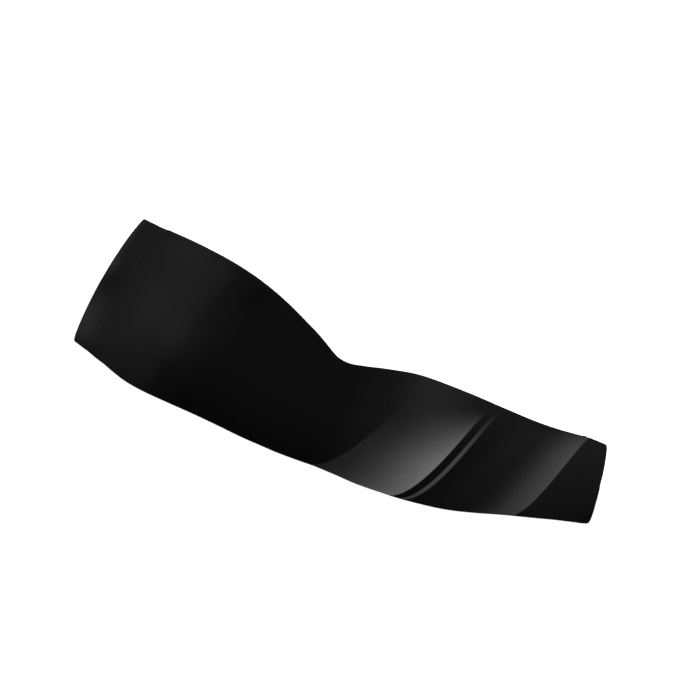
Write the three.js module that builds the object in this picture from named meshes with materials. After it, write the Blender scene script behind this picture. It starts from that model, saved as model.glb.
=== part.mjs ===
// Arm sleeve: a close-fitting knitted tube that keeps the form of a slightly
// bent arm, with a turned-in hem at the bicep mouth and at the wrist mouth.
//
// Millimetres, +Z up. The origin is the middle of the hollow at the elbow.
// +X runs to the wrist along the line that joins the middles of the two mouths,
// +Z points to the biceps and the inner elbow, and the sleeve is alike on both
// sides of the plane y = 0.

import * as THREE from 'three';
import { LoftGeometry } from 'three/addons/geometries/LoftGeometry.js';

// ---------------------------------------------------------------- sizes (mm)

const KNIT_THICKNESS = 1.2;      // one layer of the stretch knit
const HEM_THICKNESS = 2.6;       // two layers, turned to the inside
const BICEP_HEM_WIDTH = 19.0;    // from the mouth to the hem stitches
const WRIST_HEM_WIDTH = 15.3;
const PIECE_GAP = 0.3;           // clear space between hem and tube
const HEM_DENT = 0.4;            // the stitches draw the hem in by this much,
const TUBE_LIP = 0.25;           // so the tube stands a little proud beside it,
const STITCH_REACH = 4.0;        // and both fade out over this distance
const BICEP_FOLD = 0.7;          // length of the folded edge along the sleeve
const WRIST_FOLD = 1.3;
const WRIST_ROLL = 0.8;          // the wrist's edge turns in by this much
const ROLL_REACH = 4.0;

const FACETS_AROUND = 40;
const FOLD_STEPS = 6;            // steps round the folded edge of a hem
const CREASE_STEP = 6.5;         // ring spacing at the elbow crease
const PLAIN_STEP = 14.0;         // ring spacing far from it
const CREASE_REACH = 95.0;

// Sections of the sleeve from the bicep mouth to the wrist mouth.
//   x, z         middle of the section
//   tilt         lean of the section plane about Y, degrees, top towards +X
//   halfHeight   half the section's height, inner elbow side to elbow side
//   halfDepth    half its width across the arm
//   belly        level of the widest point over the middle, share of halfHeight
const SECTIONS = [
  { x: -194.9, z: 29.8, tilt:  7.3, halfHeight: 54.7, halfDepth: 53.0, belly:  0.03 }, // bicep mouth
  { x: -187.9, z: 28.7, tilt:  7.4, halfHeight: 55.4, halfDepth: 53.5, belly:  0.02 },
  { x: -175.9, z: 26.8, tilt:  7.5, halfHeight: 57.1, halfDepth: 54.2, belly:  0.00 }, // hem stitches
  { x: -161.9, z: 24.8, tilt:  7.5, halfHeight: 58.9, halfDepth: 54.9, belly: -0.02 },
  { x: -145.9, z: 22.3, tilt:  7.5, halfHeight: 60.7, halfDepth: 55.3, belly: -0.04 },
  { x: -126.0, z: 20.3, tilt:  7.6, halfHeight: 61.0, halfDepth: 55.1, belly: -0.06 }, // biceps
  { x: -104.1, z: 18.4, tilt:  7.8, halfHeight: 59.6, halfDepth: 53.8, belly: -0.07 },
  { x:  -82.1, z: 15.3, tilt:  8.0, halfHeight: 57.0, halfDepth: 51.6, belly: -0.08 },
  { x:  -61.2, z: 11.1, tilt:  8.0, halfHeight: 54.0, halfDepth: 49.0, belly: -0.07 },
  { x:  -42.2, z:  6.8, tilt:  7.0, halfHeight: 50.6, halfDepth: 46.7, belly: -0.05 },
  { x:  -26.1, z:  3.3, tilt:  5.2, halfHeight: 47.1, halfDepth: 45.1, belly: -0.03 },
  { x:  -12.0, z:  0.4, tilt:  3.0, halfHeight: 43.6, halfDepth: 44.2, belly: -0.01 },
  { x:   -2.0, z: -0.3, tilt:  1.2, halfHeight: 42.4, halfDepth: 43.9, belly:  0.00 }, // inner elbow crease
  { x:    8.0, z:  0.5, tilt: -0.6, halfHeight: 42.6, halfDepth: 43.9, belly:  0.01 },
  { x:   22.0, z:  2.0, tilt: -3.0, halfHeight: 44.2, halfDepth: 44.2, belly:  0.03 },
  { x:   40.0, z:  4.3, tilt: -5.0, halfHeight: 46.6, halfDepth: 44.3, belly:  0.05 },
  { x:   62.0, z:  7.1, tilt: -6.5, halfHeight: 48.1, halfDepth: 43.5, belly:  0.06 }, // forearm swell
  { x:   85.9, z:  9.2, tilt: -7.8, halfHeight: 47.6, halfDepth: 41.4, belly:  0.05 },
  { x:  109.9, z: 11.7, tilt: -8.6, halfHeight: 45.6, halfDepth: 37.9, belly:  0.03 },
  { x:  133.8, z: 15.1, tilt: -9.0, halfHeight: 42.0, halfDepth: 33.6, belly:  0.01 },
  { x:  155.8, z: 18.6, tilt: -9.2, halfHeight: 38.3, halfDepth: 29.4, belly: -0.01 },
  { x:  175.9, z: 22.2, tilt: -9.3, halfHeight: 35.8, halfDepth: 26.0, belly: -0.03 },
  { x:  194.0, z: 26.1, tilt: -9.4, halfHeight: 34.1, halfDepth: 23.4, belly: -0.05 },
  { x:  202.9, z: 27.8, tilt: -9.4, halfHeight: 33.5, halfDepth: 22.4, belly: -0.06 }, // hem stitches
  { x:  208.9, z: 28.8, tilt: -9.4, halfHeight: 32.8, halfDepth: 21.7, belly: -0.07 },
  { x:  216.9, z: 30.0, tilt: -9.4, halfHeight: 31.5, halfDepth: 20.9, belly: -0.08 }, // wrist mouth
];

// ------------------------------------------------------------ section maths

const COLUMNS = ['z', 'tilt', 'halfHeight', 'halfDepth', 'belly'];
const FIRST = SECTIONS[0];
const LAST = SECTIONS[SECTIONS.length - 1];

// Slope of a column at row i, from the rows on either side of it.
function slope(i, column) {
  const a = SECTIONS[Math.max(i - 1, 0)];
  const b = SECTIONS[Math.min(i + 1, SECTIONS.length - 1)];
  return (b[column] - a[column]) / (b.x - a.x);
}

// The section at any x, by cubic interpolation between the rows.
function sectionAt(x) {
  let i = 0;
  while (i < SECTIONS.length - 2 && SECTIONS[i + 1].x < x) i += 1;
  const a = SECTIONS[i];
  const b = SECTIONS[i + 1];
  const span = b.x - a.x;
  const t = (x - a.x) / span;
  const section = { x };
  for (const column of COLUMNS) {
    section[column] =
      (1 + 2 * t) * (1 - t) ** 2 * a[column] +
      t * (1 - t) ** 2 * span * slope(i, column) +
      t * t * (3 - 2 * t) * b[column] +
      t * t * (t - 1) * span * slope(i + 1, column);
  }
  return section;
}

// One ring of points round the sleeve at x, drawn in by `inset` from its outer
// face. It starts at +Y and turns towards +Z.
function ring(x, inset) {
  const { z, tilt, halfHeight, halfDepth, belly } = sectionAt(x);
  const lean = THREE.MathUtils.degToRad(tilt);
  const points = [];
  for (let i = 0; i < FACETS_AROUND; i += 1) {
    const angle = (i / FACETS_AROUND) * 2 * Math.PI;
    const c = Math.cos(angle);
    const s = Math.sin(angle);
    const across = halfDepth * c;
    const up = halfHeight * (s + belly * c * c);
    const outward = new THREE.Vector2(
      halfHeight * c * (1 - 2 * belly * s),
      halfDepth * s,
    ).normalize();
    const y = across - inset * outward.x;
    const h = up - inset * outward.y;
    points.push(new THREE.Vector3(x + h * Math.sin(lean), y, z + h * Math.cos(lean)));
  }
  return points;
}

// Share of the stitches' pull that is left at this distance from them.
function pull(distance) {
  return Math.max(0, 1 - distance / STITCH_REACH) ** 2;
}

// A thin wall from its rings: the outer face, then back along the inner face,
// and round to the first ring again.
function wall(rings) {
  return new LoftGeometry([...rings, rings[0]]);
}

const bicepStitchX = FIRST.x + BICEP_HEM_WIDTH * Math.cos(THREE.MathUtils.degToRad(FIRST.tilt));
const wristStitchX = LAST.x - WRIST_HEM_WIDTH * Math.cos(THREE.MathUtils.degToRad(LAST.tilt));

// ------------------------------------------------------------------- pieces

// Knitted tube between the two rows of hem stitches.
function sleeveBody() {
  const start = bicepStitchX + PIECE_GAP / 2;
  const end = wristStitchX - PIECE_GAP / 2;
  const stations = [start, start + 1.5, start + STITCH_REACH];
  const lastPlain = end - STITCH_REACH;
  for (let x = start + STITCH_REACH; ;) {
    const near = THREE.MathUtils.smoothstep(Math.abs(x), 0, CREASE_REACH);
    x += THREE.MathUtils.lerp(CREASE_STEP, PLAIN_STEP, near);
    if (x > lastPlain - CREASE_STEP) break;
    stations.push(x);
  }
  stations.push(lastPlain, end - 1.5, end);
  const inset = (x) => -TUBE_LIP * pull(Math.min(x - start, end - x));
  const outer = stations.map((x) => ring(x, inset(x)));
  const inner = stations.map((x) => ring(x, inset(x) + KNIT_THICKNESS)).reverse();
  return wall([...outer, ...inner]);
}

// Turned-in hem, from `mouthX` over `width` towards the tube. `way` is +1 where
// the tube lies on the +X side of the mouth and -1 where it lies on the -X side.
// `fold` is the length of the rounded edge, which turns in by `roll`.
function hem({ mouthX, width, way, fold, roll }) {
  const flat = width - PIECE_GAP / 2;
  const drop = (d) =>
    roll * Math.max(0, 1 - d / ROLL_REACH) ** 2 + HEM_DENT * pull(width - d);
  // Profile of the band: d is the distance from the mouth, inset the depth
  // under the outer face.
  const profile = [];
  for (const d of [flat, flat - 1.5, flat - STITCH_REACH, width / 2, ROLL_REACH]) {
    profile.push({ d, inset: drop(d) });
  }
  for (let i = 0; i <= FOLD_STEPS; i += 1) {
    const turn = (i / FOLD_STEPS) * Math.PI;
    const d = fold * (1 - Math.sin(turn));
    profile.push({ d, inset: drop(d) + (HEM_THICKNESS / 2) * (1 - Math.cos(turn)) });
  }
  for (const d of [ROLL_REACH, width / 2, flat]) {
    profile.push({ d, inset: drop(d) + HEM_THICKNESS });
  }
  const along = Math.cos(THREE.MathUtils.degToRad(sectionAt(mouthX).tilt));
  const rings = profile.map(({ d, inset }) => ring(mouthX + way * d * along, inset));
  // Rings run to +X on the outer face, so a band whose tube lies at +X is
  // taken the other way round.
  return wall(way > 0 ? rings.reverse() : rings);
}

// ----------------------------------------------------------------- assembly

function piece(name, geometry, look) {
  const mesh = new THREE.Mesh(geometry, new THREE.MeshStandardMaterial(look));
  mesh.name = name;
  return mesh;
}

const bicepHem = hem({ mouthX: FIRST.x, width: BICEP_HEM_WIDTH, way: 1, fold: BICEP_FOLD, roll: 0 });
const wristHem = hem({ mouthX: LAST.x, width: WRIST_HEM_WIDTH, way: -1, fold: WRIST_FOLD, roll: WRIST_ROLL });

const armSleeve = new THREE.Group();
armSleeve.name = 'arm_sleeve';
armSleeve.add(
  piece('sleeve_body', sleeveBody(), { color: 0x1a1a1b, roughness: 0.85, metalness: 0 }),
  piece('bicep_hem', bicepHem, { color: 0x202021, roughness: 0.85, metalness: 0 }),
  piece('wrist_hem', wristHem, { color: 0x1c1c1d, roughness: 0.85, metalness: 0 }),
);

export default armSleeve;
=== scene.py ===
# Arm sleeve: the knitted tube, its two turned hems, the hem stitches and the
# back seam, in metres, in the part's own frame.
import math

import bpy
import numpy as np
from mathutils import Matrix, Vector


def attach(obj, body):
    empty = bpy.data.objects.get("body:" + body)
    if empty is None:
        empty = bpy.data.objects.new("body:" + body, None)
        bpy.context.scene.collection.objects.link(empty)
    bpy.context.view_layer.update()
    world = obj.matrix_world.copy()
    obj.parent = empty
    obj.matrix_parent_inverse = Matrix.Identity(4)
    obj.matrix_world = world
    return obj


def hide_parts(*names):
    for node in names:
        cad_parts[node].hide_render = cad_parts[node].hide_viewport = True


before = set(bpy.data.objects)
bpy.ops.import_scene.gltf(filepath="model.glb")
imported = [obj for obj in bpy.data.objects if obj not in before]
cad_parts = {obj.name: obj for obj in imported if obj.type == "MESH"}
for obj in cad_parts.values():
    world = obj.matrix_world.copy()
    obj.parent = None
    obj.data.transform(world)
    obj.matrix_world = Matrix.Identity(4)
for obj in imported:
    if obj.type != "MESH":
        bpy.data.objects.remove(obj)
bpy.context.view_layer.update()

MM = 0.001

# ------------------------------------------------------------------- sizes (mm)

KNIT_THICKNESS = 1.1
HEM_THICKNESS = 2.5
BICEP_HEM_WIDTH = 19.0
WRIST_HEM_WIDTH = 15.3
FOLD_THICKNESS = 1.6                 # a hem is pressed thinner at its folded edge
BICEP_FOLD, WRIST_FOLD = 0.6, 1.0    # length of the folded edge along the sleeve
ROLL_REACH = 4.0
MOUTH_REACH = 0.3                    # the wrist's edge stands past the solid
NAP = 0.25                           # the cloth's nap stands this far off the solid
# The tube stands up, or is drawn in, where a hem is sewn to it, the hem is drawn
# in at the hem line and between its stitches, and the wrist's edge turns in: at the
# top, and underneath.
BICEP_LIP, WRIST_LIP = (0.10, -0.16), (0.50, -0.04)
BICEP_SINK, WRIST_SINK = (0.22, 0.15), (0.05, 0.10)
BICEP_DRAW, WRIST_DRAW = (0.43, 0.46), (0.0, 0.28)
DRAW_PLACE, DRAW_REACH = 3.5, 5.0    # from the hem line
BICEP_ROLL, WRIST_ROLL = (0.0, 0.10), (-0.12, 0.60)

STITCH_PITCH = 2.9                   # hem stitches
STITCH_ROWS = (0.5, 5.3)             # the two rows, from the hem line to the mouth
THREAD_R = 0.19
SEAM_HALF = 2.9                      # back seam: half its width
SEAM_HEIGHT = 0.42
SEAM_PITCH = 2.4

WALE, COURSE = 0.91, 0.77            # one knit loop, across and along the sleeve

# Flat layout of the textures. On the tube's square image a loop takes a whole
# number of pixels, so that the knit draws no false waves there.
TEXTURE_MAP = "OFBake"
TUBE_PIXELS, LOOP_PIXELS = 1024.0, 2.0
INSIDE_PIXELS = 196.0                # width of the strip for the tube's inner face
GAP_PIXELS, EDGE_PIXELS = 6.0, 4.0   # round each face; an end wall
CELL_STEPS = 8                       # steps of a long thread to a cell

# Sections from the bicep mouth to the wrist mouth.
# x, z: middle of the section; tilt: lean of its plane about Y, degrees; half
# height; half depth; belly: level of the widest point, share of half height.
SECTIONS = np.array([
    # x       z     tilt   half_h half_d  belly
    (-194.9, 29.8,  7.3,  54.7,  53.0,   0.03),   # bicep mouth
    (-187.9, 28.7,  7.4,  55.4,  53.5,   0.02),
    (-175.9, 26.8,  7.5,  57.1,  54.2,   0.00),   # hem stitches
    (-161.9, 24.8,  7.5,  58.9,  54.9,  -0.02),
    (-145.9, 22.3,  7.5,  60.7,  55.3,  -0.04),
    (-126.0, 20.3,  7.6,  61.0,  55.1,  -0.06),   # biceps
    (-104.1, 18.4,  7.8,  59.6,  53.8,  -0.07),
    ( -82.1, 15.3,  8.0,  57.0,  51.6,  -0.08),
    ( -61.2, 11.1,  8.0,  54.0,  49.0,  -0.07),
    ( -42.2,  6.8,  7.0,  50.6,  46.7,  -0.05),
    ( -26.1,  3.3,  5.2,  47.1,  45.1,  -0.03),
    ( -12.0,  0.4,  3.0,  43.6,  44.2,  -0.01),
    (  -2.0, -0.3,  1.2,  42.4,  43.9,   0.00),   # inner elbow crease
    (   8.0,  0.5, -0.6,  42.6,  43.9,   0.01),
    (  22.0,  2.0, -3.0,  44.2,  44.2,   0.03),
    (  40.0,  4.3, -5.0,  46.6,  44.3,   0.05),
    (  62.0,  7.1, -6.5,  48.1,  43.5,   0.06),   # forearm swell
    (  85.9,  9.2, -7.8,  47.6,  41.4,   0.05),
    ( 109.9, 11.7, -8.6,  45.6,  37.9,   0.03),
    ( 133.8, 15.1, -9.0,  42.0,  33.6,   0.01),
    ( 155.8, 18.6, -9.2,  38.3,  29.4,  -0.01),
    ( 175.9, 22.2, -9.3,  35.8,  26.0,  -0.03),
    ( 194.0, 26.1, -9.4,  34.1,  23.4,  -0.05),
    ( 202.9, 27.8, -9.4,  33.5,  22.4,  -0.06),   # hem stitches
    ( 208.9, 28.8, -9.4,  32.8,  21.7,  -0.07),
    ( 216.9, 30.0, -9.4,  31.5,  20.9,  -0.08),   # wrist mouth
])

# Soft folds of the slack knit round the inner elbow, and broad low swells.
# x: place along the sleeve; angle: middle of the fold round the section, 90 is
# the inner elbow and 180 the near side; span: half its run round the section;
# width; height, minus for a valley; bow: how far its ends run to +x.
FOLDS = np.array([
    #   x   angle  span  width height  bow
    (-33.0,   97,   50,   7.5,  0.14,  -9.0),
    (-17.0,   92,   66,   5.0,  0.13,  -7.0),
    ( -9.5,   84,   58,   3.8, -0.10,  -4.0),
    (  6.5,   94,   60,   3.8, -0.10,   4.0),
    ( 12.5,   88,   70,   4.8,  0.14,   7.0),
    ( 27.0,   99,   52,   7.0,  0.14,  10.0),
    ( 44.0,   80,   40,   9.0,  0.10,  13.0),
    (-45.0,   90,   75,  13.0,  0.24,   0.0),
    ( 66.0,  270,   75,  14.0,  0.24,   0.0),
    ( 76.0,   90,   75,  15.0,  0.30,   0.0),
    (146.0,   90,   75,  18.0,  0.16,   0.0),
    (-167.0, 270,   65,   5.0, -0.38,   0.0),
])

# Where the bicep mouth's folded edge runs, round the section: angle from the
# top to the underside, and distance in from the plane of the mouth.
MOUTH_RUN = (
    # angle  inward
    (90.0,   -0.80),
    (115.0,   0.36),
    (150.0,   0.34),
    (172.0,   0.02),
    (190.0,   0.20),
    (205.0,   0.48),
    (235.0,   0.64),
    (270.0,   0.00),
)

# Broad slack waves of the knit: waves along the sleeve, waves round it, phase,
# height in mm.
WAVES = np.array([
    # along round phase height
    ( 6.3,   2,   0.4,  0.10),
    ( 9.1,  -3,   2.1,  0.08),
    (13.7,   1,   4.0,  0.06),
    ( 4.2,   4,   1.2,  0.07),
])

# ------------------------------------------------------------- section maths

X = SECTIONS[:, 0]
COLS = SECTIONS[:, 1:]
LAST = len(X) - 1
SLOPES = np.array([
    (COLS[min(i + 1, LAST)] - COLS[max(i - 1, 0)])
    / (X[min(i + 1, LAST)] - X[max(i - 1, 0)])
    for i in range(LAST + 1)
])
X_BICEP = X[0] + BICEP_HEM_WIDTH * math.cos(math.radians(COLS[0, 1]))
X_WRIST = X[LAST] - WRIST_HEM_WIDTH * math.cos(math.radians(COLS[LAST, 1]))


def section(x):
    """z, tilt, half height, half depth and belly at x, by cubic interpolation."""
    x = np.asarray(x, float)
    i = np.clip(np.searchsorted(X, x) - 1, 0, LAST - 1)
    span = (X[i + 1] - X[i])[..., None]
    t = (x - X[i])[..., None] / span
    v = (
        (1 + 2 * t) * (1 - t) ** 2 * COLS[i]
        + t * (1 - t) ** 2 * span * SLOPES[i]
        + t * t * (3 - 2 * t) * COLS[i + 1]
        + t * t * (t - 1) * span * SLOPES[i + 1]
    )
    return np.moveaxis(v, -1, 0)


def shell(x, angle, out):
    """Points of the sleeve at x (mm) and angle, `out` mm outside its outer face, in metres."""
    x, angle, out = np.broadcast_arrays(x, angle, out)
    z, tilt, high, deep, belly = section(x)
    lean = np.radians(tilt)
    c, s = np.cos(angle), np.sin(angle)
    ny, nh = high * c * (1 - 2 * belly * s), deep * s
    n = np.hypot(ny, nh)
    y = deep * c + out * ny / n
    h = high * (s + belly * c * c) + out * nh / n
    return np.stack([x + h * np.sin(lean), y, z + h * np.cos(lean)], -1) * MM


ROUND = np.linspace(0, 2 * math.pi, 1441)


def girth(x):
    """Distance round the section at x from the back seam, at each angle of ROUND."""
    p = shell(np.full_like(ROUND, x), ROUND, 0.0) / MM
    return np.concatenate([[0], np.cumsum(np.linalg.norm(np.diff(p, axis=0), axis=1))])


_fine = np.linspace(X[0], X[LAST], 1200)
_mid = np.stack([_fine, section(_fine)[0]], 1)
_run = np.concatenate([[0], np.cumsum(np.linalg.norm(np.diff(_mid, axis=0), axis=1))])


def along(x):
    """Distance along the sleeve's middle line from the bicep mouth."""
    return np.interp(x, _fine, _run)


def columns(rows, seam_half, n_seam, n_plain):
    """Angle, distance round and whole girth for each column of each row of points:
    close columns over the back seam and even ones elsewhere. The last column is
    the first one again."""
    angles, ells, wholes = [], [], []
    known = {}
    for x in rows:
        key = round(float(x), 4)
        if key not in known:
            run = girth(x)
            whole = run[-1]
            ell = np.concatenate([
                np.linspace(0, seam_half, n_seam // 2 + 1),
                np.linspace(seam_half, whole - seam_half, n_plain + 1)[1:-1],
                np.linspace(whole - seam_half, whole, n_seam // 2 + 1),
            ])
            known[key] = (np.interp(ell, run, ROUND), ell, whole)
        a, e, w = known[key]
        angles.append(a)
        ells.append(e)
        wholes.append(w)
    return np.array(angles), np.array(ells), np.array(wholes)[:, None]


def bump(d, width):
    return np.exp(-((d / width) ** 2))


def window(d, half):
    return np.where(np.abs(d) < half, np.cos(np.clip(d / half, -1, 1) * math.pi / 2) ** 2, 0)


def top_to_under(angle, ends):
    """From the first of two values at the top to the second at the underside."""
    return (ends[0] + ends[1]) / 2 + (ends[0] - ends[1]) / 2 * np.sin(angle)


def seam_relief(ell, whole):
    """The flat seam along the back: a low band with a line where the edges meet."""
    e = np.abs((ell + whole / 2) % whole - whole / 2)
    shoulder = 1 / (1 + np.exp((e - SEAM_HALF) / 0.28))
    return SEAM_HEIGHT * shoulder - 0.16 * bump(e, 0.45)


def wave_relief(x, angle):
    u = (x - X[0]) / (X[LAST] - X[0])
    out = 0
    for n_along, n_round, phase, height in WAVES:
        out = out + height * np.sin(2 * math.pi * n_along * u + n_round * angle + phase)
    return out


def body_relief(x, angle, ell, whole):
    out = NAP + wave_relief(x, angle) * window(x, 215)
    degrees = np.degrees(angle)
    for fx, fa, span, width, height, bow in FOLDS:
        turn = (degrees - fa + 180) % 360 - 180
        place = x - fx - bow * (turn / span) ** 2
        out = out + height * bump(place, width) * window(turn, span)
    for ends, d in ((BICEP_LIP, x - X_BICEP), (WRIST_LIP, X_WRIST - x)):
        lip = top_to_under(angle, ends)
        out = out + lip * bump(d - 2.2, 2.0) - (0.30 + 0.3 * np.maximum(lip, 0)) * bump(d, 0.8)
    return out + seam_relief(ell, whole)


# -------------------------------------------------------------------- meshes

def make_object(name, verts, faces, uvs=None, materials=(), face_material=None, sharp=None):
    """A mesh of quads from arrays. uvs: {map: (faces, 4, 2)}."""
    me = bpy.data.meshes.new(name)
    me.vertices.add(len(verts))
    me.vertices.foreach_set("co", np.ascontiguousarray(verts, np.float32).ravel())
    me.loops.add(faces.size)
    me.loops.foreach_set("vertex_index", np.ascontiguousarray(faces, np.int32).ravel())
    me.polygons.add(len(faces))
    me.polygons.foreach_set("loop_start", np.arange(0, faces.size, 4, dtype=np.int32))
    for m in materials:
        me.materials.append(m)
    if face_material is not None:
        me.polygons.foreach_set("material_index", np.ascontiguousarray(face_material, np.int32))
    me.update(calc_edges=True)
    for key, uv in (uvs or {}).items():
        layer = me.uv_layers.new(name=key)
        layer.uv.foreach_set("vector", np.ascontiguousarray(uv, np.float32).ravel())
    me.validate()
    me.shade_smooth()
    if sharp:
        me.set_sharp_from_angle(angle=math.radians(sharp))
    ob = bpy.data.objects.new(name, me)
    bpy.context.scene.collection.objects.link(ob)
    return ob


def ring_wall(points, coords):
    """A closed wall from rings of points (rows, columns + 1, 3), whose last
    column is the first one again and whose rows run round the wall's profile.
    Returns verts, faces, uvs and each face's row."""
    rows, cols = points.shape[0], points.shape[1] - 1
    verts = points[:, :cols].reshape(-1, 3)
    r, c = np.meshgrid(np.arange(rows), np.arange(cols), indexing="ij")
    r2, c2 = (r + 1) % rows, (c + 1) % cols
    faces = np.stack([r * cols + c, r * cols + c2, r2 * cols + c2, r2 * cols + c], -1).reshape(-1, 4)
    uvs = {}
    for key, uv in coords.items():
        q = np.stack([uv[r, c], uv[r, c + 1], uv[r2, c + 1], uv[r2, c]], 2)
        uvs[key] = q.reshape(-1, 2)
    return verts, faces, uvs, r.reshape(-1)


def cloth_coords(x, ell, whole):
    """Metres over the cloth. KnitUV: round the arm from the near side, and along
    it. PrintUV: distance from the underside line, and along it."""
    s = along(x) * np.ones_like(ell)
    t = whole / 2 - ell
    under = np.abs((ell - 0.75 * whole + whole / 2) % whole - whole / 2)
    return {
        "KnitUV": np.stack([t, s], -1) * MM,
        "PrintUV": np.stack([under, s], -1) * MM,
    }


def tube_layout(x, ell, whole):
    """Places on the tube's texture: the outer face as its cut panel, and the inner
    face as a strip beside it."""
    s = along(x) * np.ones_like(ell)
    v = GAP_PIXELS + EDGE_PIXELS + 0.25 + (s - s.min()) * LOOP_PIXELS / COURSE
    panel = (whole.max() / 2 + ell - whole / 2) * LOOP_PIXELS / WALE
    strip = panel.max() + GAP_PIXELS + (1 - ell / whole) * INSIDE_PIXELS
    outer = np.stack([GAP_PIXELS + 0.25 + panel, v], -1)
    inner = np.stack([GAP_PIXELS + 0.25 + strip, v], -1)
    return outer / TUBE_PIXELS, inner / TUBE_PIXELS


def lay_end_walls(uv, rows, cols):
    """Lays the tube's two end walls along the ends of its panel."""
    q = uv.reshape(2 * rows, cols, 4, 2)
    edge = np.array([0, EDGE_PIXELS / TUBE_PIXELS])
    q[rows - 1, :, 2], q[rows - 1, :, 3] = q[rows - 1, :, 1] + edge, q[rows - 1, :, 0] + edge
    q[-1, :, 0], q[-1, :, 1] = q[-1, :, 3] - edge, q[-1, :, 2] - edge
    return q.reshape(-1, 2)


def band_layout(profile, ell, whole, pieces):
    """A hem's texture: the band, cut across into pieces that lie one above another.
    profile: distance of each row along the hem's profile, and back to the first."""
    rows, cols = len(profile) - 1, ell.shape[1] - 1
    share = ell / whole
    piece = np.floor((share[0, 1:] + share[0, :-1]) / 2 * pieces)
    r, c = np.meshgrid(np.arange(rows), np.arange(cols), indexing="ij")
    r2 = (r + 1) % rows
    u = np.stack([share[r, c], share[r, c + 1], share[r2, c + 1], share[r2, c]], 2)
    u = u * pieces - piece[c][..., None]
    v = np.stack([profile[r], profile[r], profile[r + 1], profile[r + 1]], 2) / profile[-1]
    v = (piece[c][..., None] + 0.03 + 0.94 * v) / pieces
    return np.stack([0.015 + 0.97 * u, v], -1).reshape(-1, 2)


def tube(points, normals, radius, sides=6, closed=False):
    """A round thread of radius (mm) along points (threads, steps, 3), with the way
    up at each. Returns verts, faces, each face's cell of the texture, one a stitch,
    and its corners' places in that cell."""
    if closed:
        tangent = np.roll(points, -1, 1) - np.roll(points, 1, 1)
    else:
        tangent = np.gradient(points, axis=1)
    tangent /= np.linalg.norm(tangent, axis=-1, keepdims=True)
    side = np.cross(tangent, normals)
    side /= np.linalg.norm(side, axis=-1, keepdims=True)
    up = np.cross(side, tangent)
    n, steps = points.shape[:2]
    radius = np.broadcast_to(radius, (n, steps))[..., None, None] * MM
    turn = np.arange(sides) / sides * 2 * math.pi
    ring = (
        points[:, :, None]
        + radius * np.cos(turn)[:, None] * up[:, :, None]
        + radius * np.sin(turn)[:, None] * side[:, :, None]
    )
    verts = ring.reshape(-1, 3)
    spans = steps if closed else steps - 1
    k, i, j = np.meshgrid(np.arange(n), np.arange(spans), np.arange(sides), indexing="ij")
    def at(i, j):
        return (k * steps + i % steps) * sides + j % sides
    faces = [np.stack([at(i, j), at(i, j + 1), at(i + 1, j + 1), at(i + 1, j)], -1).reshape(-1, 4)]
    run = min(spans, CELL_STEPS)
    per_thread = -(-spans // run)
    cells = [(k * per_thread + i // run).reshape(-1)]
    u = 0.04 + 0.80 * np.stack([i % run, i % run, i % run + 1, i % run + 1], -1) / run
    v = 0.05 + 0.90 * np.stack([j, j + 1, j + 1, j], -1) / sides
    places = [np.stack([u, v], -1).reshape(-1, 4, 2)]
    if not closed and sides == 6:
        base = np.arange(n) * steps * sides
        end = base + (steps - 1) * sides
        first = np.arange(n) * per_thread
        last = first + per_thread - 1
        caps = ((base, first, (0, 3, 2, 1)), (base, first, (0, 5, 4, 3)), (end, last, (0, 1, 2, 3)), (end, last, (0, 3, 4, 5)))
        for q, (a, cell, order) in enumerate(caps):
            faces.append(np.stack([a + o for o in order], -1))
            cells.append(cell)
            corners = np.array([(0.88, 0.0), (0.96, 0.0), (0.96, 0.16), (0.88, 0.16)]) + (0, 0.06 + 0.24 * q)
            places.append(np.tile(corners, (n, 1, 1)))
    return verts, np.concatenate(faces), np.concatenate(cells), np.concatenate(places)


def join(parts):
    """Several threads as one: verts, faces and uvs, with the cells in a square grid."""
    verts, faces, cells, places, base, first = [], [], [], [], 0, 0
    for v, f, c, q in parts:
        verts.append(v)
        faces.append(f + base)
        cells.append(c + first)
        places.append(q)
        base += len(v)
        first += c.max() + 1
    side = math.ceil(math.sqrt(first))
    cell = np.concatenate(cells)
    corner = np.stack([cell % side, cell // side], -1)[:, None]
    uvs = {TEXTURE_MAP: (np.concatenate(places) + corner) / side}
    return np.concatenate(verts), np.concatenate(faces), uvs


# ----------------------------------------------------------------- materials

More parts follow.
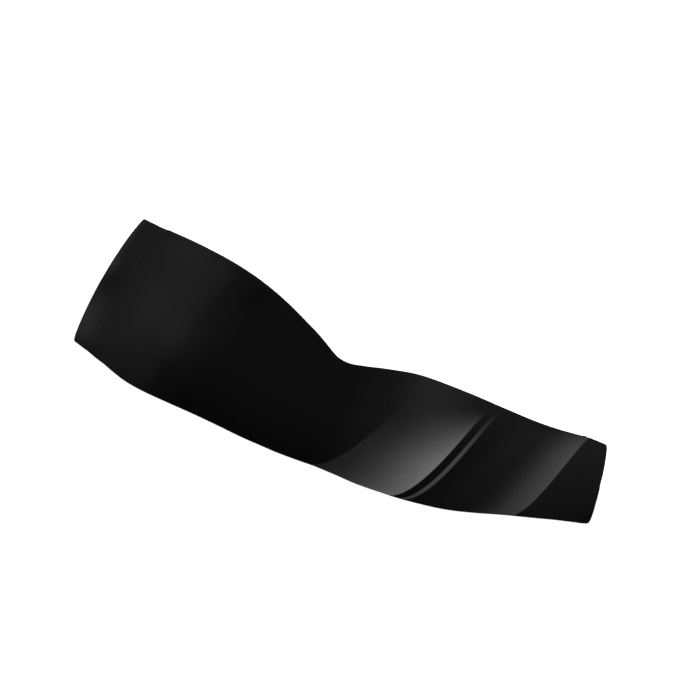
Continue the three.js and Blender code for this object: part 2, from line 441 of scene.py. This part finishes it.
class Look:
    """A material's nodes, a few at a time."""

    def __init__(self, name):
        self.mat = bpy.data.materials.new(name)
        self.mat.use_nodes = True
        self.tree = self.mat.node_tree
        self.tree.nodes.clear()
        self.out = self.tree.nodes.new("ShaderNodeOutputMaterial")
        self.bsdf = self.tree.nodes.new("ShaderNodeBsdfPrincipled")
        self.tree.links.new(self.bsdf.outputs[0], self.out.inputs[0])

    def put(self, socket, value):
        if isinstance(value, bpy.types.NodeSocket):
            self.tree.links.new(value, socket)
        else:
            socket.default_value = value

    def set(self, name, value):
        self.put(self.bsdf.inputs[name], value)

    def math(self, op, a, b=0.0, c=0.0):
        n = self.tree.nodes.new("ShaderNodeMath")
        n.operation = op
        for socket, value in zip(n.inputs, (a, b, c)):
            self.put(socket, value)
        return n.outputs[0]

    def remap(self, x, lo, hi, to_lo=0.0, to_hi=1.0, smooth=True):
        n = self.tree.nodes.new("ShaderNodeMapRange")
        n.interpolation_type = "SMOOTHSTEP" if smooth else "LINEAR"
        for key, value in (("Value", x), ("From Min", lo), ("From Max", hi), ("To Min", to_lo), ("To Max", to_hi)):
            self.put(n.inputs[key], value)
        return n.outputs["Result"]

    def blend(self, a, b, f):
        """a + f (b - a)"""
        return self.math("MULTIPLY_ADD", self.math("SUBTRACT", b, a), f, a)

    def uv(self, name):
        n = self.tree.nodes.new("ShaderNodeUVMap")
        n.uv_map = name
        s = self.tree.nodes.new("ShaderNodeSeparateXYZ")
        self.tree.links.new(n.outputs[0], s.inputs[0])
        return (self.math("MULTIPLY", s.outputs[0], 1000.0), self.math("MULTIPLY", s.outputs[1], 1000.0))

    def vector(self, x, y, z=0.0):
        n = self.tree.nodes.new("ShaderNodeCombineXYZ")
        for socket, value in zip(n.inputs, (x, y, z)):
            self.put(socket, value)
        return n.outputs[0]

    def noise(self, vector, scale, detail=2.0, rough=0.5):
        n = self.tree.nodes.new("ShaderNodeTexNoise")
        self.put(n.inputs["Vector"], vector)
        n.inputs["Scale"].default_value = scale
        n.inputs["Detail"].default_value = detail
        n.inputs["Roughness"].default_value = rough
        return n.outputs["Fac"]

    def grey(self, value, tint=(1.0, 1.0, 1.0)):
        n = self.tree.nodes.new("ShaderNodeCombineColor")
        for socket, k in zip(n.inputs, tint):
            self.put(socket, value if k == 1.0 else self.math("MULTIPLY", value, k))
        return n.outputs[0]

    def bump(self, height, strength, distance, normal=None):
        n = self.tree.nodes.new("ShaderNodeBump")
        n.inputs["Strength"].default_value = strength
        n.inputs["Distance"].default_value = distance
        self.put(n.inputs["Height"], height)
        if normal is not None:
            self.put(n.inputs["Normal"], normal)
        return n.outputs[0]


# Tone of the cloth along the sleeve, the print's fade and painted shade, darker from the biceps to the elbow:
# distance from the bicep mouth in mm, and albedo. FADE_LEAN: how much sooner it comes on the underside, mm.
PRINT_FADE_AND_SHADE = (
    # along  albedo
    (0.0,    0.0048),
    (14.0,   0.0055),
    (46.0,   0.0072),
    (66.0,   0.0060),
    (88.0,   0.0029),
    (114.0,  0.0021),
    (208.0,  0.0022),
    (234.0,  0.0034),
    (280.0,  0.0080),
    (312.0,  0.0048),
    (340.0,  0.0050),
    (425.0,  0.0047),
)
FADE_LEAN = 12.0
# Painted shade along the underside and painted light along the top, as shares of that
# tone: by the bicep mouth, and from the elbow on.
PAINTED_UNDER_SHADE, PAINTED_TOP_LIGHT = (0.85, 0.78), (1.0, 1.18)

# Painted highlights and painted shade on the near side, where light catches the bicep mouth's rolled edge and shade
# falls:
# distance up from the middle of the near side, distance along from the mouth, reach each way, albedo gained.
PAINTED_LIGHT_AND_SHADE = (
    # up     along  reach_up  reach_along  gain
    ( 48.0,   0.0,   34.0,      3.2,      0.0052),
    ( 14.0,   1.5,    8.0,      4.5,      0.0048),
    (  1.0,   8.0,   13.0,      9.0,     -0.0016),
    (-40.0,   3.5,   26.0,     12.0,      0.0080),
    ( -7.0,  74.0,   18.0,     18.0,      0.0013),
    ( 31.0,  37.0,   18.0,     16.0,     -0.0008),
    ( 52.0, 103.0,   17.0,     13.0,     -0.0007),
    (-36.0, 415.0,   20.0,     14.0,     -0.0013),
    ( 26.0, 404.0,   24.0,     22.0,      0.0010),
)

# Slanted panels of the tonal print on the forearm, alike on both sides. Where
# each starts and ends on the underside; over what distance it comes in and goes
# out; its albedo at the start and at the end; how high up the side it fades.
SLANT = 0.58
PANELS = (
    # start   end    in    out   first   last    fade
    (196.0,  258.0,  0.8,  0.8, 0.0085, 0.0850, (50.0, 108.0)),
    (258.0,  265.0,  0.8,  0.8, 0.0022, 0.0022, (60.0, 112.0)),
    (265.0,  269.0,  0.8,  0.8, 0.0300, 0.0300, (56.0, 108.0)),
    (269.0,  302.0,  0.8, 26.0, 0.0026, 0.0036, (60.0, 120.0)),
    (308.0,  354.0, 34.0,  0.8, 0.0085, 0.0310, (58.0, 118.0)),
)


def knit_height(k, t, s):
    """Loops of a fine plain knit, right side: columns of small V's."""
    wave = k.math("FRACT", k.math("DIVIDE", t, WALE))
    tri = k.math("MULTIPLY", k.math("ABSOLUTE", k.math("SUBTRACT", wave, 0.5)), 2.0)
    lean = k.math("MULTIPLY_ADD", tri, 0.42, k.math("DIVIDE", s, COURSE))
    loop = k.math("MULTIPLY_ADD", k.math("COSINE", k.math("MULTIPLY", lean, 2 * math.pi)), 0.5, 0.5)
    ridge = k.math("SUBTRACT", 1.0, k.math("MULTIPLY", tri, tri))
    return k.math("MULTIPLY", ridge, k.math("MULTIPLY_ADD", loop, 0.55, 0.45)), loop


def printed_knit(name):
    """The outer face: matt black stretch knit with a soft tonal print, painted shade and painted highlights."""
    k = Look(name)
    t, s = k.uv("KnitUV")
    under, along_print = k.uv("PrintUV")
    cloth = k.vector(t, s)

    # slow random drift, so no stretch of the tone and its painted shade is even
    drift = k.noise(cloth, 0.021, 2.0)
    s_fade = k.math("MULTIPLY_ADD", k.math("SUBTRACT", drift, 0.5), 22.0, s)
    s_fade = k.math("ADD", s_fade, k.remap(under, 42.0, 96.0, FADE_LEAN, 0.0))
    # tone along the sleeve: the print's fade, with painted shade from the biceps to the elbow
    tone = PRINT_FADE_AND_SHADE[0][1]
    for (a, ta), (b, tb) in zip(PRINT_FADE_AND_SHADE, PRINT_FADE_AND_SHADE[1:]):
        step = k.remap(s_fade, a, b, 0.0, tb - ta)
        tone = k.math("ADD", step, tone)
    # painted shade on the underside, painted light on the top
    for ends, reach in ((PAINTED_UNDER_SHADE, (98.0, 30.0)), (PAINTED_TOP_LIGHT, (105.0, 165.0))):
        share = k.remap(s_fade, 70.0, 105.0, *ends)
        tone = k.math("MULTIPLY", tone, k.remap(under, *reach, 1.0, share))

    # slanted panels
    slanted = k.math("MULTIPLY_ADD", under, -SLANT, along_print)
    for start, end, come, go, first, last, (fade_from, fade_to) in PANELS:
        inside = k.math(
            "MULTIPLY",
            k.remap(slanted, start - min(come, 0.8) / 2, start + come),
            k.remap(slanted, end - go, end + min(go, 0.8) / 2, 1.0, 0.0),
        )
        inside = k.math("MULTIPLY", inside, k.remap(under, fade_from, fade_to, 1.0, 0.0))
        rise = k.math("POWER", k.remap(slanted, start, end, smooth=False), 2.0)
        tone = k.blend(tone, k.math("MULTIPLY_ADD", rise, last - first, first), inside)

    # yarn: painted shade between the loops, each loop a little lighter on its back; faint streaks down the wales
    height, loop = knit_height(k, t, s)
    streak = k.noise(k.vector(t, k.math("MULTIPLY", s, 0.04)), 1.1, 3.0, 0.6)
    mottle = k.noise(cloth, 0.55, 4.0, 0.65)
    yarn_and_loop_shade = k.math("MULTIPLY_ADD", height, 0.34, 0.80)
    yarn_and_loop_shade = k.math("MULTIPLY", yarn_and_loop_shade, k.math("MULTIPLY_ADD", streak, 0.30, 0.85))
    yarn_and_loop_shade = k.math("MULTIPLY", yarn_and_loop_shade, k.math("MULTIPLY_ADD", mottle, 0.30, 0.85))
    tone = k.math("MULTIPLY", tone, yarn_and_loop_shade)
    # painted highlights and painted shade in a few places of the near side
    for place_t, place_s, reach_t, reach_s, gain in PAINTED_LIGHT_AND_SHADE:
        dt = k.math("DIVIDE", k.math("SUBTRACT", t, place_t), reach_t)
        ds = k.math("DIVIDE", k.math("SUBTRACT", s, place_s), reach_s)
        far = k.math("MULTIPLY_ADD", dt, dt, k.math("MULTIPLY", ds, ds))
        tone = k.math("MULTIPLY_ADD", k.math("EXPONENT", k.math("MULTIPLY", far, -1.0)), gain, tone)
    tone = k.math("MAXIMUM", tone, 0.0008)
    k.set("Base Color", k.grey(tone))
    k.set("Roughness", k.remap(mottle, 0.2, 0.8, 0.82, 0.95))
    k.set("Specular IOR Level", 0.0003)
    coarse = k.bump(k.noise(cloth, 0.9, 3.0, 0.6), 0.25, 0.00025)
    k.set("Normal", k.bump(height, 0.55, 0.00016, coarse))
    return k.mat


def inside_knit(name):
    """The reverse face: rows of small purl bumps, plain dark grey, where the face's
    dye shows through unevenly, with painted shade between the rows."""
    k = Look(name)
    t, s = k.uv("KnitUV")
    cloth = k.vector(t, s)
    sway = k.math("MULTIPLY", k.math("SINE", k.math("MULTIPLY", t, 2 * math.pi / WALE)), 0.22)
    row = k.math("ADD", k.math("DIVIDE", s, COURSE), sway)
    purl = k.math("MULTIPLY_ADD", k.math("COSINE", k.math("MULTIPLY", row, 2 * math.pi)), 0.5, 0.5)
    mottle = k.noise(cloth, 0.5, 4.0, 0.65)
    slow = k.noise(cloth, 0.03, 2.0)
    # painted shade between the purl rows, lighter on the bumps, mottled
    tone = k.math("MULTIPLY", k.math("MULTIPLY_ADD", purl, 0.026, 0.042), k.math("MULTIPLY_ADD", mottle, 0.5, 0.75))
    tone = k.math("MULTIPLY", tone, k.math("MULTIPLY_ADD", slow, 0.5, 0.75))
    k.set("Base Color", k.grey(tone))
    k.set("Roughness", k.remap(mottle, 0.2, 0.8, 0.85, 0.97))
    k.set("Specular IOR Level", 0.004)
    k.set("Normal", k.bump(purl, 0.5, 0.00014))
    return k.mat


def thread_look(name, albedo):
    """Textured polyester sewing thread, two plies twisted."""
    k = Look(name)
    n = k.tree.nodes.new("ShaderNodeTexCoord")
    mottle = k.noise(n.outputs["Object"], 900.0, 3.0, 0.6)
    slow = k.noise(n.outputs["Object"], 60.0, 2.0)
    tone = k.math("MULTIPLY", k.math("MULTIPLY_ADD", mottle, albedo, albedo * 0.5), k.math("MULTIPLY_ADD", slow, 0.4, 0.8))
    k.set("Base Color", k.grey(tone))
    k.set("Roughness", k.remap(mottle, 0.2, 0.8, 0.55, 0.75))
    k.set("Specular IOR Level", 0.008)
    k.set("Normal", k.bump(mottle, 0.4, 0.0001))
    return k.mat


PRINT = printed_knit("printed_knit")
BICEP_PRINT = printed_knit("bicep_hem_knit")
WRIST_PRINT = printed_knit("wrist_hem_knit")
INSIDE = inside_knit("knit_reverse")
THREAD = thread_look("hem_thread", 0.0062)
SEAM_THREAD = thread_look("seam_thread", 0.0060)

# ---------------------------------------------------------------- sleeve body

def body_rows():
    """Stations along the tube, closer beside the hem stitches."""
    reach, d = [0.0], 0.0
    while d < 9.0:
        d += 0.35 + 0.16 * d
        reach.append(d)
    first, last = X_BICEP + np.array(reach), X_WRIST - np.array(reach)[::-1]
    n = int(round((last[0] - first[-1]) / 1.85))
    return np.concatenate([first, np.linspace(first[-1], last[0], n + 1)[1:-1], last])


rows = body_rows()
angle, ell, whole = columns(rows, 4.6, 24, 128)
xs = rows[:, None] * np.ones_like(angle)
relief = body_relief(xs, angle, ell, whole)
outer = shell(xs, angle, relief)
flat_relief = relief - 0.6 * seam_relief(ell, whole)
inner = shell(xs, angle, flat_relief - KNIT_THICKNESS)[::-1]
coords = cloth_coords(xs, ell, whole)
coords = {key: np.concatenate([uv, uv[::-1]]) for key, uv in coords.items()}
outer_place, inner_place = tube_layout(xs, ell, whole)
coords[TEXTURE_MAP] = np.concatenate([outer_place, inner_place[::-1]])
verts, faces, uvs, face_row = ring_wall(np.concatenate([outer, inner]), coords)
uvs[TEXTURE_MAP] = lay_end_walls(uvs[TEXTURE_MAP], len(rows), ell.shape[1] - 1)
body = make_object(
    "sleeve_knit", verts, faces, uvs, (PRINT, INSIDE), (face_row >= len(rows) - 1).astype(int), sharp=50
)
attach(body, "root")
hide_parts("sleeve_body")

# ------------------------------------------------------------------------ hems

HEMS = {
    # name        mouth x                hem line x  width             way  fold        roll        sink        draw
    "bicep_hem": (X[0],                  X_BICEP, BICEP_HEM_WIDTH,                1, BICEP_FOLD, BICEP_ROLL, BICEP_SINK, BICEP_DRAW),
    "wrist_hem": (X[LAST] + MOUTH_REACH, X_WRIST, WRIST_HEM_WIDTH + MOUTH_REACH, -1, WRIST_FOLD, WRIST_ROLL, WRIST_SINK, WRIST_DRAW),
}


def hem_relief(name, d, angle, ell, whole):
    """Offset of the hem's outer face, at distance d from the mouth."""
    mouth, line, width, way, fold, roll, sink, draw = HEMS[name]
    g = width - d
    n = round(float(np.mean(whole)) / STITCH_PITCH)
    stitch = np.cos(2 * math.pi * n * ell / whole)
    out = NAP - top_to_under(angle, sink) * bump(g, 1.5) - 0.16 * bump(g - STITCH_ROWS[1], 0.8)
    out = out - top_to_under(angle, draw) * bump(g - DRAW_PLACE, DRAW_REACH)
    out = out + 0.07 * stitch * (bump(g - STITCH_ROWS[0], 1.4) + bump(g - STITCH_ROWS[1], 1.1))
    out = out + 0.13 * bump(g - 3.0, 1.3)
    out = out - top_to_under(angle, roll) * np.maximum(0, 1 - np.maximum(d, 0) / ROLL_REACH) ** 2
    edge = np.clip(1 - d / width, 0, 1)
    out = out + edge * (0.16 * np.sin(3 * angle + 0.7) + 0.10 * np.sin(7 * angle + 2.2))
    return out + 0.75 * seam_relief(ell, whole)


def mouth_run(angle):
    """MOUTH_RUN on both sides of the sleeve, smoothed."""
    place, inward = np.array(MOUTH_RUN).T
    turn = np.degrees(angle)
    turn = np.where((turn > 90) & (turn < 270), turn, (180 - turn) % 360)
    out = 0
    for step in np.linspace(-12, 12, 7):
        out = out + np.interp(turn + step, place, inward) / 7
    return out


def inner_relief(relief):
    """The turned-in layer follows the outer one, less closely where that stands up."""
    return 0.55 * relief + 0.45 * np.minimum(relief, 0)


def make_hem(name, material, n_plain, pieces):
    mouth, line, width, way, fold, roll, sink, draw = HEMS[name]
    profile = []
    for d in np.linspace(width, ROLL_REACH, int((width - ROLL_REACH) / 0.55) + 1):
        profile.append((d, 0.0))
    for d in np.linspace(ROLL_REACH, fold, 8)[1:-1]:
        profile.append((d, 0.0))
    for turn in np.linspace(0, math.pi, 13):
        profile.append((fold * (1 - math.sin(turn)), FOLD_THICKNESS / 2 * (1 - math.cos(turn))))
    for d in np.linspace(fold, width, int(width / 0.9))[1:]:
        profile.append((d, HEM_THICKNESS + (FOLD_THICKNESS - HEM_THICKNESS) * math.exp(-(((d - fold) / 2.5) ** 2))))
    d, depth = np.array(profile).T
    lean = math.cos(math.radians(section(mouth)[1]))
    x = mouth + way * d * lean
    order = slice(None, None, -1) if way > 0 else slice(None)
    x, d, depth = x[order], d[order], depth[order]
    angle, ell, whole = columns(x, 4.6, 24, n_plain)
    dd, depths = d[:, None], depth[:, None]
    relief = hem_relief(name, dd, angle, ell, whole)
    row, edge_row = np.arange(len(d))[:, None], np.argmin(d)
    turned = row < edge_row if way > 0 else row > edge_row
    relief = np.where(turned, inner_relief(relief), relief)
    # the folded edge wanders a little
    edge = np.clip(1 - dd / width, 0, 1)
    if way > 0:
        shift = edge * mouth_run(angle)
    else:
        shift = edge * np.maximum(0, 0.20 * np.sin(4 * angle + 1.1) + 0.12 * np.sin(9 * angle + 0.3))
    points = shell(x[:, None] + way * shift, angle, relief - depths)
    coords = cloth_coords(x[:, None] * np.ones_like(angle), ell, whole)
    # the turned-in layer carries on the cloth from the folded edge
    for key in coords:
        s = coords[key][..., 1]
        edge_s = along(mouth) * MM
        coords[key][..., 1] = np.where(turned, 2 * edge_s - s, s)
    verts, faces, uvs, _ = ring_wall(points, coords)
    steps = np.hypot(np.diff(d, append=d[0]), np.diff(depth, append=depth[0]))
    uvs[TEXTURE_MAP] = band_layout(np.concatenate([[0], np.cumsum(steps)]), ell, whole, pieces)
    ob = make_object(name + "_band", verts, faces, uvs, (material,), sharp=60)
    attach(ob, "root")
    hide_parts(name)
    return ob


bicep_hem = make_hem("bicep_hem", BICEP_PRINT, 430, 3)
wrist_hem = make_hem("wrist_hem", WRIST_PRINT, 226, 2)

# --------------------------------------------------------------------- threads

def on_hem(name, g, ell, lift, inside=False):
    """Points and outward normals on the hem at distance g from the hem line, at
    shares ell of the way round it. inside: on the turned-in layer's face, with
    the normal to the arm."""
    mouth, line, width, way, fold, roll, sink, draw = HEMS[name]
    d = width - g
    x = mouth + way * d * math.cos(math.radians(section(mouth)[1]))
    run = girth(x)
    angle = np.interp(ell * run[-1], run, ROUND)
    relief = hem_relief(name, d, angle, ell * run[-1], run[-1])
    if inside:
        relief = inner_relief(relief) - HEM_THICKNESS
    p = shell(x, angle, relief + lift)
    q = shell(x, angle, relief + lift + (-1.0 if inside else 1.0))
    return p, (q - p) / np.linalg.norm(q - p, axis=-1, keepdims=True)


def hem_stitches(name):
    """Two rows of straight stitches outside, and the looper thread's zigzag over
    the raw edge inside."""
    mouth, line, width, way, fold, roll, sink, draw = HEMS[name]
    n = round(girth(line)[-1] / STITCH_PITCH)
    parts = []
    u = np.linspace(0, 1, 7)
    arch = np.sin(math.pi * u)
    for row, g in enumerate(STITCH_ROWS):
        start = (np.arange(n) + 0.25 * row)[:, None] / n
        ell = (start + (0.07 + 0.86 * u) / n) % 1.0
        lift = -0.16 + 0.27 * arch ** 0.6
        p, up = on_hem(name, g, ell, lift[None, :] * np.ones_like(ell))
        parts.append(tube(p, up, THREAD_R * (0.6 + 0.4 * arch ** 0.5)[None, :]))
    # looper zigzag, inside: the points at each distance from the hem line together
    m = 6 * n
    ell = np.arange(m) / m
    lo, hi = STITCH_ROWS
    zigzag = np.clip(1.35 * np.sin(2 * math.pi * n * ell), -1, 1)
    g = np.round(np.maximum((lo + hi) / 2 - 0.6 + (hi - lo) / 2 * zigzag, -0.4), 6)
    p, up = np.empty((m, 3)), np.empty((m, 3))
    for level in np.unique(g):
        at = g == level
        p[at], up[at] = on_hem(name, level, ell[at], -0.14, inside=True)
    parts.append(tube(p[None], up[None], 0.17, closed=True))
    verts, faces, uvs = join(parts)
    ob = make_object(name + "_stitches", verts, faces, uvs, (THREAD,))
    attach(ob, "root")
    return ob


bicep_stitches = hem_stitches("bicep_hem")
wrist_stitches = hem_stitches("wrist_hem")


def on_seam(x, e, lift):
    """Points and normals on the cloth over the back seam, tube and hems alike: e mm
    from its middle line."""
    whole = 1000.0
    angle = e / section(x)[2]
    height = body_relief(x, angle, e % whole, whole)
    for name, (mouth, line, width, way, *_) in HEMS.items():
        d = way * (x - mouth) / math.cos(math.radians(section(mouth)[1]))
        hem = hem_relief(name, d, angle, e % whole, whole)
        height = np.where(way * (x - line) < 0, hem, height)
    p = shell(x, angle, height + lift)
    q = shell(x, angle, height + lift + 1.0)
    return p, (q - p) / np.linalg.norm(q - p, axis=-1, keepdims=True)


def back_seam_threads():
    """Flat seam: four rows of needle thread and the cover thread's zigzag."""
    start, end = X[0] + 1.6, X[LAST] - 2.4
    n = int((end - start) / SEAM_PITCH)
    parts = []
    u = np.linspace(0, 1, 6)
    arch = np.sin(math.pi * u)
    for row, e in enumerate((-2.25, -0.75, 0.75, 2.25)):
        place = np.arange(n - row % 2)[:, None] + 0.5 * (row % 2) + 0.06 + 0.86 * u
        x = start + place * SEAM_PITCH
        p, up = on_seam(x, np.full_like(x, e), -0.12 + 0.23 * arch ** 0.6)
        parts.append(tube(p, up, 0.15 * (0.6 + 0.4 * arch ** 0.5)[None, :]))
    m = 8 * n
    x = np.linspace(start, end, m)
    e = 2.35 * np.clip(1.25 * np.sin(math.pi * np.arange(m) / 8), -1, 1)
    p, up = on_seam(x, e, 0.13)
    parts.append(tube(p[None], up[None], 0.12))
    verts, faces, uvs = join(parts)
    ob = make_object("back_seam_threads", verts, faces, uvs, (SEAM_THREAD,))
    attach(ob, "root")
    return ob


seam_threads = back_seam_threads()

# ------------------------------------------------------ floor, light and camera

def floor(z):
    k = Look("pale_floor")
    n = k.tree.nodes.new("ShaderNodeTexCoord")
    grain = k.noise(n.outputs["Object"], 3.0, 3.0)
    k.set("Base Color", k.grey(k.math("MULTIPLY_ADD", grain, 0.01, 0.63)))
    k.set("Roughness", 1.0)
    k.set("Specular IOR Level", 0.0)
    h = 30.0
    verts = np.array([(-h, -h, z), (h, -h, z), (h, h, z), (-h, h, z)])
    ob = make_object("floor", verts, np.array([[0, 1, 2, 3]]), None, (k.mat,))


floor(-0.42)

world = bpy.data.worlds.new("studio")
world.use_nodes = True
world.node_tree.nodes["Background"].inputs["Color"].default_value = (1, 1, 1, 1)
world.node_tree.nodes["Background"].inputs["Strength"].default_value = 1.62
bpy.context.scene.world = world


def softbox(name, place, target, size, watts):
    light = bpy.data.lights.new(name, "AREA")
    light.shape = "RECTANGLE"
    light.size, light.size_y = size
    light.energy = watts
    ob = bpy.data.objects.new(name, light)
    way = np.array(target) - np.array(place)
    ob.location = place
    ob.rotation_mode = "QUATERNION"
    ob.rotation_quaternion = Vector(way).to_track_quat("-Z", "Y")
    bpy.context.scene.collection.objects.link(ob)


softbox("key", (-0.35, -2.10, 0.78), (0, 0, 0.02), (1.6, 1.2), 36.0)
softbox("back", (0.45, 2.10, 0.78), (0, 0, 0.02), (1.6, 1.0), 22.0)

# The camera stands on the near side, level with the elbow, and is rolled so
# that the sleeve slopes down to the wrist.
DISTANCE = 1.600
ROLL = math.radians(22.754)
FRAME_WIDTH = 0.546                 # metres across the frame at the sleeve
right = np.array([math.cos(ROLL), 0, math.sin(ROLL)])
up = np.array([-math.sin(ROLL), 0, math.cos(ROLL)])
back = np.array([0, -1.0, 0])
centre = 0.018954 * right + 0.048422 * up
cam = bpy.data.cameras.new("camera")
cam.sensor_width = 36.0
cam.lens = 36.0 * DISTANCE / FRAME_WIDTH
cam.clip_end = 100.0
camera = bpy.data.objects.new("camera", cam)
camera.matrix_world = Matrix((
    (right[0], up[0], back[0], centre[0]),
    (right[1], up[1], back[1], centre[1] - DISTANCE),
    (right[2], up[2], back[2], centre[2]),
    (0, 0, 0, 1),
))
bpy.context.scene.collection.objects.link(camera)
bpy.context.scene.camera = camera
bpy.context.scene.view_settings.view_transform = "Standard"
bpy.context.scene.view_settings.look = "None"
